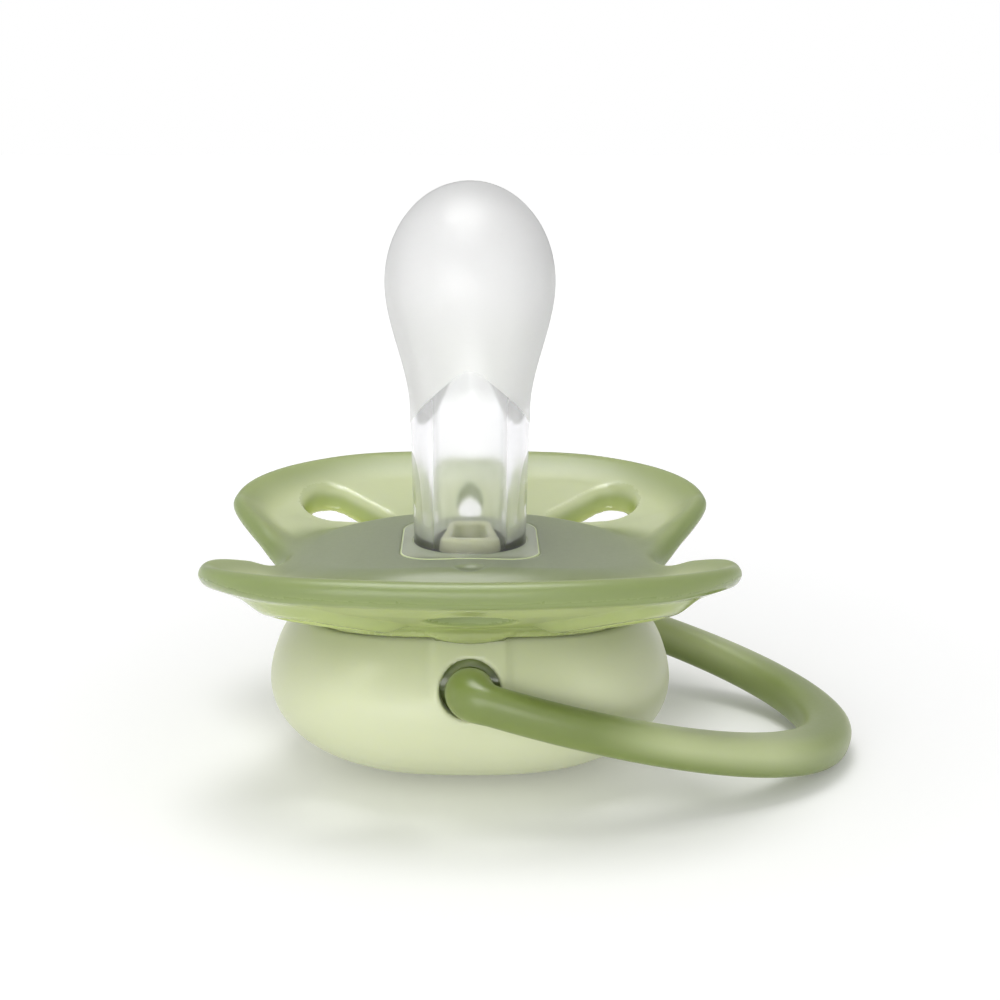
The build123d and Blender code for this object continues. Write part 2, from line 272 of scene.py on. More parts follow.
# painted highlight along the seat's edge
SEAT_EDGE_HIGHLIGHT_COLOURS = ((0.60, 0.70, 0.36), (0.64, 0.74, 0.40))
FROST_COLOURS = ((0.91, 0.91, 0.91), (0.93, 0.93, 0.93))
CLEAR_COLOURS = ((1.0, 1.0, 1.0), (1.0, 1.0, 1.0))
HAZE_COLOURS = ((0.97, 0.98, 0.97), (1.0, 1.0, 1.0))
PAPER_COLOURS = ((0.93, 0.93, 0.93), (0.95, 0.95, 0.95))
RIM_TINT = np.array([0.30, 0.35, 0.155])
# painted shade on the rim's side face
EDGE_PAINTED_SHADE = np.array([0.21, 0.26, 0.10])
# painted light on the underside
UNDER_PAINTED_LIGHT = np.array([0.37, 0.43, 0.17])
# painted shade over the solid mound, where no light comes through from below
MOUND_PAINTED_SHADE = np.array([0.26, 0.30, 0.175])
# painted light in the thin lobes, as if shining through them from below
LOBE_PAINTED_LIGHT = np.array([0.54, 0.58, 0.38])
# painted shade in the well inside each oval hole
WELL_PAINTED_SHADE = np.array([0.22, 0.27, 0.11])
RING_TINT = np.array([0.175, 0.225, 0.06])
# painted sheen on the ring's upper face
RING_TOP_PAINTED_SHEEN = np.array([0.42, 0.47, 0.26])


# ---- Distance fields ------------------------------------------------------------------------------

def both(a, b, radius):
    """The part inside a and b, with the edge between them rounded."""
    corner = np.hypot(np.maximum(radius + a, 0), np.maximum(radius + b, 0))
    return np.minimum(np.maximum(a, b), -radius) + corner


def either(a, b, radius):
    """The part inside a or b, with a hollow fillet between them."""
    corner = np.hypot(np.maximum(radius - a, 0), np.maximum(radius - b, 0))
    return np.maximum(np.minimum(a, b), radius) - corner


def rounded_box_2d(x, y, half_x, half_y, radius):
    """Distance to a rectangle with round corners."""
    over_x = np.abs(x) - half_x + radius
    over_y = np.abs(y) - half_y + radius
    outside = np.hypot(np.maximum(over_x, 0), np.maximum(over_y, 0))
    return outside + np.minimum(np.maximum(over_x, over_y), 0) - radius


def squircle(x, y, half_x, half_y, power):
    """About the distance to a shape between an ellipse and a rectangle."""
    u = np.abs(x) / half_x
    v = np.abs(y) / half_y
    size = (u**power + v**power + 1e-9) ** (1 / power)
    slope_x = (u / size) ** (power - 1) / half_x
    slope_y = (v / size) ** (power - 1) / half_y
    return (size - 1) / np.maximum(np.hypot(slope_x, slope_y), 1e-6)


def smooth_step(value, start, end):
    share = np.clip((value - start) / (end - start), 0, 1)
    return share * share * (3 - 2 * share)


def closed_spline(points, count):
    """Points along a smooth closed curve through the given ones."""
    points = np.array(points, float)
    n = len(points)
    span = np.linalg.norm(np.roll(points, -1, 0) - points, axis=1)
    matrix = np.zeros((n, n))
    right = np.zeros((n, 2))
    for i in range(n):
        before, after = span[i - 1], span[i]
        matrix[i, i - 1] = after
        matrix[i, i] = 2 * (before + after)
        matrix[i, (i + 1) % n] = before
        backward = (points[i] - points[i - 1]) / before
        forward = (points[(i + 1) % n] - points[i]) / after
        right[i] = 3 * (after * backward + before * forward)
    slope = np.linalg.solve(matrix, right)
    knots = np.concatenate([[0], np.cumsum(span)])
    along = np.linspace(0, knots[-1], count, endpoint=False)
    place = np.clip(np.searchsorted(knots, along, side="right") - 1, 0, n - 1)
    t = ((along - knots[place]) / span[place])[:, None]
    after = (place + 1) % n
    length = span[place][:, None]
    return (
        (2 * t**3 - 3 * t**2 + 1) * points[place]
        + (t**3 - 2 * t**2 + t) * length * slope[place]
        + (3 * t**2 - 2 * t**3) * points[after]
        + (t**3 - t**2) * length * slope[after]
    )


def mesh_from_field(name, field, low, high, step):
    """A closed mesh of quads round the part where field(x, y, z) is negative."""
    axes = [np.arange(low[i], high[i] + step, step) for i in range(3)]
    shape = tuple(len(a) for a in axes)
    values = field(*np.meshgrid(*axes, indexing="ij")).astype(np.float64)
    cells = tuple(s + 1 for s in shape)
    total = np.zeros((cells[0] * cells[1] * cells[2], 3))
    count = np.zeros(len(total))
    quads = []
    for axis in range(3):
        u, v = (axis + 1) % 3, (axis + 2) % 3
        first = [slice(None)] * 3
        second = [slice(None)] * 3
        first[axis] = slice(0, -1)
        second[axis] = slice(1, None)
        a, b = values[tuple(first)], values[tuple(second)]
        crossing = (a < 0) != (b < 0)
        index = np.argwhere(crossing)
        start, end = a[crossing], b[crossing]
        place = index.astype(float)
        place[:, axis] += start / (start - end)
        corners = []
        for du, dv in ((0, 0), (1, 0), (1, 1), (0, 1)):
            cell = index + 1
            cell[:, u] -= 1 - du
            cell[:, v] -= 1 - dv
            flat = np.ravel_multi_index(tuple(cell.T), cells)
            corners.append(flat)
            for i in range(3):
                total[:, i] += np.bincount(flat, place[:, i], len(total))
            count += np.bincount(flat, minlength=len(total))
        quad = np.stack(corners, 1)
        outward = start < 0
        quads.append(np.where(outward[:, None], quad, quad[:, ::-1]))
    quads = np.concatenate(quads)
    used = np.flatnonzero(count)
    new_index = np.full(len(total), -1)
    new_index[used] = np.arange(len(used))
    quads = new_index[quads]
    points = np.array(low) + total[used] / count[used][:, None] * step
    for _ in range(4):
        points = relax(points, quads)
        points = on_to_surface(field, points, step)
    for _ in range(2):
        points = on_to_surface(field, points, step)
    return make_mesh(name, points, quads)


def relax(points, quads):
    """Each point moved half way to the middle of its neighbours."""
    total = np.zeros_like(points)
    count = np.zeros(len(points))
    for k in range(4):
        here, there = quads[:, k], quads[:, (k + 1) % 4]
        for i in range(3):
            total[:, i] += np.bincount(here, points[there, i], len(points))
            total[:, i] += np.bincount(there, points[here, i], len(points))
        count += np.bincount(here, minlength=len(points)) + np.bincount(there, minlength=len(points))
    return 0.5 * points + 0.5 * total / count[:, None]


def on_to_surface(field, points, step):
    """Points moved along the field's slope until it is zero."""
    reach = 0.02
    value = field(*points.T)
    slope = np.empty_like(points)
    for i in range(3):
        ahead, behind = points.copy(), points.copy()
        ahead[:, i] += reach
        behind[:, i] -= reach
        slope[:, i] = (field(*ahead.T) - field(*behind.T)) / (2 * reach)
    move = value[:, None] * slope / np.maximum((slope**2).sum(1), 0.05)[:, None]
    length = np.linalg.norm(move, axis=1, keepdims=True)
    return points - move * np.minimum(1, 0.6 * step / np.maximum(length, 1e-9))


def make_mesh(name, points, faces):
    """A smooth-shaded object from points in millimetres and faces of four."""
    mesh = bpy.data.meshes.new(name)
    faces = np.asarray(faces, np.int32)
    mesh.vertices.add(len(points))
    mesh.vertices.foreach_set("co", (np.asarray(points) * MM).astype(np.float32).ravel())
    mesh.loops.add(faces.size)
    mesh.loops.foreach_set("vertex_index", faces.ravel())
    mesh.polygons.add(len(faces))
    mesh.polygons.foreach_set("loop_start", np.arange(0, faces.size, 4, dtype=np.int32))
    mesh.update(calc_edges=True)
    mesh.validate()
    mesh.shade_smooth()
    made = bpy.data.objects.new(name, mesh)
    bpy.context.scene.collection.objects.link(made)
    return made


# ---- Shield ---------------------------------------------------------------------------------------

# a quarter of the outline, from the waist over the lobe to the end
quarter = [(WAIST, 0), (18.9, 5.4), (HALF_WIDTH, LOBE_TIP_Y), (18.5, 19.9), (9.2, 24.6), (0, HALF_LENGTH)]
half_outline = quarter + [(-x, y) for x, y in reversed(quarter[:-1])]
outline = closed_spline(half_outline + [(x, -y) for x, y in reversed(half_outline[1:-1])], 7200)
outline_angle = np.unwrap(np.arctan2(outline[:, 1], outline[:, 0]))
outline_radius = np.hypot(outline[:, 0], outline[:, 1])


def shield_edge(x, y):
    """About the distance to the shield's outline."""
    angle = np.mod(np.arctan2(y, x), 2 * math.pi)
    radius = np.interp(angle, outline_angle, outline_radius, period=2 * math.pi)
    ahead = np.interp(angle + ANGLE_STEP, outline_angle, outline_radius, period=2 * math.pi)
    behind = np.interp(angle - ANGLE_STEP, outline_angle, outline_radius, period=2 * math.pi)
    turn = (ahead - behind) / (2 * ANGLE_STEP) / radius
    return (np.hypot(x, y) - radius) / np.sqrt(1 + turn**2)


def from_middle(x, y):
    """0 in the middle of the mound and 1 at its foot."""
    across = np.abs(x / WAIST) ** MOUND_SQUARENESS
    along = np.abs(y / MOUND_HALF_LENGTH) ** MOUND_SQUARENESS
    return (across + along) ** (1 / MOUND_SQUARENESS)


def face_height(x, y, rim_step=RIM_STEP):
    """Height of the shield's upper face; rim_step is how far the lobes are sunk inside their rim."""
    mound = MOUND_TOP - MOUND_SIDE_DROP * (x / WAIST) ** 2
    reach = np.sqrt(y * y + WAIST_ROUNDING**2) - WAIST_ROUNDING
    share = np.minimum(reach / (LOBE_TIP_Y - WAIST_ROUNDING), 1.0)
    tip = TIP_RISE * (x / HALF_WIDTH) ** 2 * share * (2 - share)
    tip = tip * (1 - (1 - TIP_RISE_LEFT_AT_END) * smooth_step(np.abs(y), LOBE_TIP_Y, HALF_LENGTH))
    past = np.maximum(0, np.abs(y) - BOWL_START)
    end = (np.sqrt(past**2 + BOWL_ROUNDING**2) - BOWL_ROUNDING) / (HALF_LENGTH - BOWL_START - BOWL_ROUNDING)
    bowl = BOWL_FLOOR + tip + END_RISE * end
    bowl = bowl - rim_step * smooth_step(-shield_edge(x, y), RIM_STEP_OUTER, RIM_STEP_INNER)
    return mound + (bowl - mound) * smooth_step(from_middle(x, y), MOUND_FOOT_START, MOUND_FOOT_END)


def teardrop(x, y):
    """Distance to the air holes that are mirrored in every quarter."""
    across = np.abs(x) - DROP_X
    along = np.abs(y) - DROP_Y
    forward = -(across * math.cos(DROP_TURN) + along * math.sin(DROP_TURN))
    side = np.abs(across * math.sin(DROP_TURN) - along * math.cos(DROP_TURN))
    lean = (DROP_RADIUS - DROP_TAIL_RADIUS) / DROP_TAIL
    rise = math.sqrt(1 - lean * lean)
    place = -side * lean + forward * rise
    flank = side * rise + forward * lean - DROP_RADIUS
    head = np.hypot(side, forward) - DROP_RADIUS
    tail = np.hypot(side, forward - DROP_TAIL) - DROP_TAIL_RADIUS
    return np.where(place < 0, head, np.where(place > DROP_TAIL * rise, tail, flank))


def ear_outer(z):
    """How far out the ears reach at a height: further lower down, where the knob is wider."""
    flare = smooth_step(EAR_ROOT_BOTTOM - z, 0.0, EAR_FLARE_HEIGHT)
    return EAR_OUTER_Y + (EAR_LOW_OUTER_Y - EAR_OUTER_Y) * flare


def ear_field(x, y, z, under):
    """The two ears that hold the hinge pins, each with a wide root under the collar."""
    across, out = np.abs(x), np.abs(y)
    inside = np.maximum(under, EAR_INNER_Y - out)
    below_hinge = np.hypot(x, z - HINGE_HEIGHT) - EAR_HALF_WIDTH
    tongue = np.where(z > HINGE_HEIGHT, across - EAR_HALF_WIDTH, below_hinge)
    walls = np.maximum(out - ear_outer(z), EAR_INNER_Y - out)
    ear = both(np.maximum(tongue, under), walls, EAR_EDGE_RADIUS)
    root_low = EAR_ROOT_BOTTOM + EAR_ROOT_ARCH * (x / EAR_ROOT_ARCH_HALF) ** 2 - z
    root = both(across - EAR_ROOT_HALF, root_low, EAR_ROOT_LOW_RADIUS)
    root = both(root, out - EAR_ROOT_OUTER_Y, EAR_ROOT_OUTER_RADIUS)
    pin_hole = PIN_RADIUS + PIN_GAP - np.hypot(x, z - HINGE_HEIGHT)
    return np.maximum(np.minimum(ear, np.maximum(root, inside)), pin_hole)


def shield_field(x, y, z):
    """About the distance to the shield: plate, collar, spigot and ears, less its holes."""
    top = face_height(x, y)
    slope_x = (face_height(x + SLOPE_STEP, y) - face_height(x - SLOPE_STEP, y)) / (2 * SLOPE_STEP)
    slope_y = (face_height(x, y + SLOPE_STEP) - face_height(x, y - SLOPE_STEP)) / (2 * SLOPE_STEP)
    level = 1 / np.sqrt(1 + slope_x**2 + slope_y**2)
    above = (z - top) * level
    drop = teardrop(x, y)
    tip = smooth_step(np.abs(x), TIP_START, HALF_WIDTH)
    surround = HOLE_SURROUND * (1 - smooth_step(drop, *HOLE_SURROUND_REACH))
    thickness = PLATE_THICKNESS - TIP_THINNING * tip + surround
    below = (face_height(x, y, RIM_STEP_BELOW) - thickness - z) * level
    edge = shield_edge(x, y)
    plate = both(above, edge, RIM_TOP_RADIUS - TIP_TOP_RADIUS_LESS * tip)
    plate = both(plate, below, RIM_LOW_RADIUS + TIP_LOW_RADIUS_MORE * tip)
    # collar in two steps, and the spigot that goes into the knob
    lift = (y / COLLAR_HALF) ** 2
    collar_edge = squircle(x, y, COLLAR_HALF, COLLAR_HALF, SQUARENESS)
    under = above + UNDER_THE_FACE
    collar = both(collar_edge, COLLAR_BOTTOM + COLLAR_END_LIFT * lift - z, COLLAR_RADIUS)
    step = both(collar_edge + STEP_INSET, STEP_BOTTOM + STEP_END_LIFT * lift - z, STEP_RADIUS)
    spigot_edge = squircle(x, y, SPIGOT_HALF, SPIGOT_HALF, SQUARENESS)
    spigot = both(spigot_edge, SPIGOT_BOTTOM - z, SPIGOT_RADIUS)
    body = either(plate, np.maximum(collar, under), COLLAR_FILLET)
    body = np.minimum(body, np.maximum(step, under))
    body = np.minimum(body, np.maximum(spigot, under))
    chamber = np.maximum(spigot_edge + SPIGOT_WALL, z - (MOUND_TOP - PLATE_THICKNESS))
    body = np.maximum(body, -chamber)
    body = np.minimum(body, ear_field(x, y, z, under))
    # holes through the plate
    seat = rounded_box_2d(x, y, SEAT_HALF_X, SEAT_HALF_Y, SEAT_RADIUS)
    body = both(body, -seat, SEAT_EDGE_RADIUS)
    drop = drop + DROP_TAPER * np.clip(top - z, 0, DROP_TAPER_DEPTH)
    oval = squircle(x, np.abs(y) - OVAL_Y, OVAL_HALF_X, OVAL_HALF_Y, 2.0)
    body = both(body, -drop, DROP_EDGE_RADIUS)
    body = both(body, -oval, OVAL_EDGE_RADIUS)
    # shallow dimple where the mound falls away, at each end
    wide, long, deep = DIMPLE_HALF_SIZE
    dimple = (x / wide) ** 2 + ((np.abs(y) - DIMPLE_Y) / long) ** 2 + ((z - top) / deep) ** 2
    dimple = np.sqrt(dimple + 1e-9) - 1
    return both(body, -dimple * DIMPLE_FIELD_SCALE, DIMPLE_EDGE_RADIUS)


def make_shield():
    low = (-HALF_WIDTH - SHIELD_MARGIN, -HALF_LENGTH - SHIELD_MARGIN, shield_low[2] - SHIELD_MARGIN)
    high = (HALF_WIDTH + SHIELD_MARGIN, HALF_LENGTH + SHIELD_MARGIN, shield_high[2] + SHIELD_MARGIN)
    return mesh_from_field("shield_body", shield_field, low, high, SHIELD_CELL)


# ---- Knob -----------------------------------------------------------------------------------------

def knob_half(z):
    """Half the knob's width at a height."""
    bottom = -KNOB_FLAT_DEPTH
    down = np.clip((KNOB_BELLY - z) / (KNOB_BELLY - bottom), 0, 1)
    low = KNOB_FLAT_HALF + (KNOB_HALF_X - KNOB_FLAT_HALF) * np.sqrt(np.maximum(1 - down**2, 1e-4))
    up = np.clip((z - KNOB_BELLY) / KNOB_SHOULDER, 0, 0.95)
    return np.where(z < KNOB_BELLY, low, KNOB_HALF_X * np.sqrt(1 - up**2))


def knob_skin(x, y, z):
    """About the distance to the knob's outer surface."""
    half = knob_half(z)
    ratio = KNOB_HALF_Y / KNOB_HALF_X
    side = squircle(x, y, half, half * ratio, SQUARENESS)
    slope = (knob_half(z + SLOPE_STEP) - knob_half(z - SLOPE_STEP)) / (2 * SLOPE_STEP)
    side = side / np.sqrt(1 + slope**2)
    return np.maximum(side, -KNOB_FLAT_DEPTH - z)


def knob_field(x, y, z):
    """About the distance to the knob's shell, with its mouth, ear pockets and windows."""
    skin = knob_skin(x, y, z)
    # a faint raised pad round each window, up to the rim
    above_window = np.maximum(z - HINGE_HEIGHT, 0)
    below_window = np.minimum(z - HINGE_HEIGHT, 0)
    pad_edge = np.where(above_window > 0, np.abs(x), np.hypot(x, below_window)) - PAD_HALF
    pad = PAD_HEIGHT * (1 - smooth_step(pad_edge, -PAD_BLEND, PAD_BLEND)) * smooth_step(z, *PAD_FADES_IN)
    inner = skin + KNOB_WALL
    solid = both(skin - pad, -inner, KNOB_INNER_RADIUS)
    rim = z - (KNOB_RIM + KNOB_RIM_LIFT * (y / COLLAR_HALF) ** 2)
    solid = both(solid, rim, KNOB_RIM_RADIUS)
    solid = both(solid, -z, KNOB_FOOT_RADIUS)
    mouth = squircle(x, y, SPIGOT_HALF + MOUTH_GAP, SPIGOT_HALF + MOUTH_GAP, SQUARENESS)
    solid = np.maximum(solid, -np.maximum(mouth, SPIGOT_BOTTOM - MOUTH_GAP_BELOW - z))
    # pockets for the ears
    side = np.abs(x) - EAR_HALF_WIDTH - POCKET_SIDE_GAP
    pocket = both(side, np.abs(y) - ear_outer(z) - POCKET_OUTER_GAP, POCKET_RADIUS)
    pocket = np.maximum(pocket, np.maximum(HINGE_HEIGHT - POCKET_DEPTH - z, z - POCKET_TOP))
    solid = np.maximum(solid, -pocket)
    window = squircle(x, z - WINDOW_HEIGHT, WINDOW_HALF_X, WINDOW_HALF_Z, 2.0)
    return both(solid, -window, WINDOW_EDGE_RADIUS)


def make_knob():
    low = (-KNOB_HALF_X - KNOB_MARGIN, -KNOB_HALF_Y - KNOB_MARGIN, -KNOB_MARGIN)
    high = (KNOB_HALF_X + KNOB_MARGIN, KNOB_HALF_Y + KNOB_MARGIN, knob_high[2] + KNOB_MARGIN)
    return mesh_from_field("knob_shell", knob_field, low, high, KNOB_CELL)


# ---- Plug -----------------------------------------------------------------------------------------

def plug_field(x, y, z):
    """About the distance to the plug: a plate and a hollow tower on it."""
    plate_half = plug_high[0] - PLATE_INSET
    plate_top = plug_low[2] + PLATE_HEIGHT
    plate = both(squircle(x, y, plate_half, plate_half, SQUARENESS), z - plate_top, PLATE_RADIUS)
    plate = both(plate, plug_low[2] - z, PLATE_RADIUS)
    top = plug_high[2]
    outer = rounded_box_2d(x, y, *TOWER_HALF, TOWER_RADIUS)
    inner_half = [half - TOWER_WALL for half in TOWER_HALF]
    inner = rounded_box_2d(x, y, *inner_half, TOWER_HOLLOW_RADIUS)
    flare = TOWER_FLARE * np.maximum(top - z, 0)
    tower = both(outer - flare, z - top, TOWER_TOP_RADIUS)
    tower = np.maximum(tower, plug_low[2] - z)
    body = either(plate, tower, TOWER_FILLET)
    hollow = np.maximum(inner - 0.5 * flare, plate_top - z)
    return both(body, -hollow, TOWER_LIP_RADIUS)


def make_plug():
    low = plug_low - PLUG_MARGIN
    high = plug_high + PLUG_MARGIN
    return mesh_from_field("teat_plug", plug_field, low, high, PLUG_CELL)


# ---- Lofted pieces --------------------------------------------------------------------------------

def grid_faces(rows, columns, first=0):
    """Quads of a grid whose columns close in a loop."""
    row, column = np.meshgrid(np.arange(rows - 1), np.arange(columns), indexing="ij")
    after = (column + 1) % columns
    corners = [row * columns + column, row * columns + after]
    corners += [(row + 1) * columns + after, (row + 1) * columns + column]
    return np.stack(corners, -1).reshape(-1, 4) + first


def power_circle(angle, power):
    """Points of a rounded square of half width 1."""
    c, s = np.cos(angle), np.sin(angle)
    return np.sign(c) * np.abs(c) ** (2 / power), np.sign(s) * np.abs(s) ** (2 / power)


def arch_height(angle):
    """Height where the teat's frosted surface ends: a pointed arch at the front and at the back."""
    across = NECK_TOP_HALF_X * np.abs(np.cos(angle))
    fall = ARCH_SLOPE * (np.sqrt(across**2 + ARCH_ROUNDING**2) - ARCH_ROUNDING)
    return ARCH_TOP - fall - ARCH_SIDE_DROP * (across / NECK_TOP_HALF_X) ** 8


def teat_half(height):
    """Half width and half depth of the teat at a height."""
    share = np.clip((height - MOUND_TOP) / (NECK_TOP - MOUND_TOP), 0, 1)
    half_x = NECK_BASE_HALF_X + (NECK_TOP_HALF_X - NECK_BASE_HALF_X) * share
    half_y = NECK_BASE_HALF_Y + (NECK_TOP_HALF_Y - NECK_BASE_HALF_Y) * share
    swell = smooth_step(height, NECK_TOP, BULB_HEIGHT)
    half_x = half_x + (BULB_HALF_X - half_x) * swell
    half_y = half_y + (BULB_HALF_Y - half_y) * swell
    return half_x, half_y


def teat_rows(inset, angle, base, arch_rows, bulb_rows, cap_rows):
    """Rows of points up the teat, one of which follows the arch."""
    rows = []
    arch = arch_height(angle)
    for step in range(arch_rows):
        rows.append(base + (arch - base) * step / arch_rows)
    for step in range(bulb_rows):
        rows.append(arch + (BULB_HEIGHT - arch) * step / bulb_rows)
    points = []
    unit_x, unit_y = power_circle(angle, 2.0)
    blunt_x, blunt_y = power_circle(angle, BULB_SQUARENESS)
    for height in rows:
        half_x, half_y = teat_half(height)
        blend = smooth_step(height, NECK_TOP, BULB_HEIGHT)
        ux = unit_x + (blunt_x - unit_x) * blend
        uy = unit_y + (blunt_y - unit_y) * blend
        if inset:
            half_x = CAVITY_HALF_X + (half_x - inset - CAVITY_HALF_X) * blend
            half_y = CAVITY_HALF_Y + (half_y - inset - CAVITY_HALF_Y) * blend
        points.append(np.stack([half_x * ux, half_y * uy, height + 0 * angle], 1))
    cap = TEAT_TOP - BULB_HEIGHT - inset
    for step in range(cap_rows):
        turn = math.pi / 2 * step / cap_rows
        half_x = (BULB_HALF_X - inset) * math.cos(turn)
        half_y = (BULB_HALF_Y - inset) * math.cos(turn)
        height = BULB_HEIGHT + cap * math.sin(turn)
        points.append(np.stack([half_x * blunt_x, half_y * blunt_y, height + 0 * angle], 1))
    return points


def seat_outline(angle):
    """The outline of the shield's seat, one point for each angle round it."""
    inside, outside = 0 * angle, 0 * angle + 2 * SEAT_HALF_Y
    for _ in range(40):
        radius = (inside + outside) / 2
        distance = rounded_box_2d(
            radius * np.cos(angle), radius * np.sin(angle), SEAT_HALF_X, SEAT_HALF_Y, SEAT_RADIUS
        )
        inside = np.where(distance < 0, radius, inside)
        outside = np.where(distance < 0, outside, radius)
    return inside * np.cos(angle), inside * np.sin(angle)


def make_teat():
    columns = 128
    angle = np.arange(columns) * 2 * math.pi / columns
    arch_rows, bulb_rows, cap_rows = 40, 40, 24
    rows = teat_rows(0, angle, MOUND_TOP + 0.6, arch_rows, bulb_rows, cap_rows)
    inner = teat_rows(TEAT_WALL, angle, teat_low[2], arch_rows, bulb_rows, cap_rows)
    seat_x, seat_y = seat_outline(angle)
    flange_x, flange_y = power_circle(angle, SQUARENESS)
    round_x, round_y = power_circle(angle, 2.0)
    skirt = []
    flange_half_x, flange_half_y = teat_high[0], teat_high[1]
    flange_low = teat_low[2]
    flange_top = flange_low + FLANGE_HEIGHT

    def ring_row(ux, uy, half_x, half_y, height):
        return np.stack([half_x * ux, half_y * uy, height + 0 * angle], 1)

    for inset, height in (
        (FLANGE_RADIUS, flange_low),
        (0, flange_low + FLANGE_RADIUS),
        (0, flange_top - FLANGE_RADIUS),
        (FLANGE_RADIUS, flange_top),
    ):
        skirt.append(ring_row(flange_x, flange_y, flange_half_x - inset, flange_half_y - inset, height))
    for height in (flange_top + 0.02, flange_top + 0.2):
        skirt.append(ring_row(seat_x, seat_y, 1, 1, height))
    for inset, drop in SEAT_EDGE:
        share = 1 - inset / SEAT_HALF_X
        height = face_height(seat_x * share, seat_y * share) - drop
        skirt.append(ring_row(seat_x, seat_y, share, share, height))
    for step in range(7):
        turn = math.pi / 2 * step / 6
        out = FOOT_FILLET * (1 - math.sin(turn))
        up = FOOT_FILLET * (1 - math.cos(turn))
        half_x, half_y = NECK_BASE_HALF_X + out, NECK_BASE_HALF_Y + out
        level = face_height(half_x * round_x, half_y * round_y) - 0.03
        skirt.append(ring_row(round_x, round_y, half_x, half_y, level + up))
    outer = skirt + rows[1:]
    tip = ring_row(round_x, round_y, 0.001, 0.001, TEAT_TOP)
    outer.append(tip)
    inner.append(ring_row(round_x, round_y, 0.001, 0.001, TEAT_TOP - TEAT_WALL))
    outer_faces = grid_faces(len(outer), columns)
    inner_faces = grid_faces(len(inner), columns, len(outer) * columns)[:, ::-1]
    bottom = np.stack(
        [
            np.arange(columns),
            len(outer) * columns + np.arange(columns),
            len(outer) * columns + (np.arange(columns) + 1) % columns,
            (np.arange(columns) + 1) % columns,
        ],
        1,
    )
    points = np.concatenate(outer + inner)
    faces = np.concatenate([outer_faces, inner_faces, bottom])
    made = make_mesh("teat_silicone", points, faces)
    # the seat with a painted highlight on its edge, then the frosted bulb and the inner wall; the neck keeps
    # slot 0
    seat_rows, highlight_rows, frosted_from = 14, (7, 9), len(skirt) + arch_rows - 1
    slots = np.zeros(len(faces), np.int32)
    slots[: seat_rows * columns] = 2
    slots[highlight_rows[0] * columns : highlight_rows[1] * columns] = 4
    slots[frosted_from * columns : len(outer_faces)] = 1
    slots[len(outer_faces) :] = 3
    made.data.materials.append(silicone_with_painted_reflections())
    made.data.materials.append(frosted_silicone())
    made.data.materials.append(seat_silicone_painted_green())
    made.data.materials.append(inner_silicone())
    made.data.materials.append(cream_plastic("seat_edge_painted_highlight", SEAT_EDGE_HIGHLIGHT_COLOURS))
    made.data.polygons.foreach_set("material_index", slots)
    return made


def ring_path():
    """Half of the ring's centre line from the pin to the tip: (u, v, half width, half height, power)."""
    rows = []
    pin_end = (
        (EAR_INNER_Y, 0.02),
        (EAR_INNER_Y, PIN_RADIUS - PIN_CHAMFER),
        (EAR_INNER_Y + PIN_CHAMFER, PIN_RADIUS),
    )
    for v, radius in pin_end:
        rows.append((0, v, radius, radius, PIN_POWER))
    along = (ELBOW_RADIUS - RING_CENTRE) / RING_HALF_LENGTH
    ball = RING_HALF_WIDTH * math.sqrt(1 - along**2) - ELBOW_RADIUS
    start = math.asin(PIN_RADIUS / SHOULDER_RADIUS)
    for step in range(13):
        turn = start + (math.pi / 2 - start) * step / 12
        radius = SHOULDER_RADIUS * math.sin(turn)
        rows.append((0, ball - SHOULDER_RADIUS * math.cos(turn), radius, radius, PIN_POWER))
    for step in range(1, 13):
        turn = math.pi / 2 * step / 12
        u = ELBOW_RADIUS * (1 - math.cos(turn))
        v = ball + ELBOW_RADIUS * math.sin(turn)
        share = smooth_step(np.array(turn), 0.2, math.pi / 2 + 0.1)
        width = SHOULDER_RADIUS + (RING_WIDTH[0] - SHOULDER_RADIUS) * share
        height = SHOULDER_RADIUS + (RING_HEIGHT[0] - SHOULDER_RADIUS) * share
        rows.append((u, v, float(width), float(height), PIN_POWER + ELBOW_POWER_GAIN * float(share)))
    first = math.acos(along)
    count = 90
    for step in range(1, count + 1):
        turn = first * (1 - step / count)
        u = RING_CENTRE + RING_HALF_LENGTH * math.cos(turn)
        v = RING_HALF_WIDTH * math.sin(turn)
        share = step / count
        grow = smooth_step(np.array(share), 0.0, 1.0)
        width = RING_WIDTH[0] + (RING_WIDTH[1] - RING_WIDTH[0]) * float(grow)
        height = RING_HEIGHT[0] + (RING_HEIGHT[1] - RING_HEIGHT[0]) * float(grow)
        rows.append((u, v, width, height, ARM_POWER + ARM_POWER_GAIN * share))
    return rows


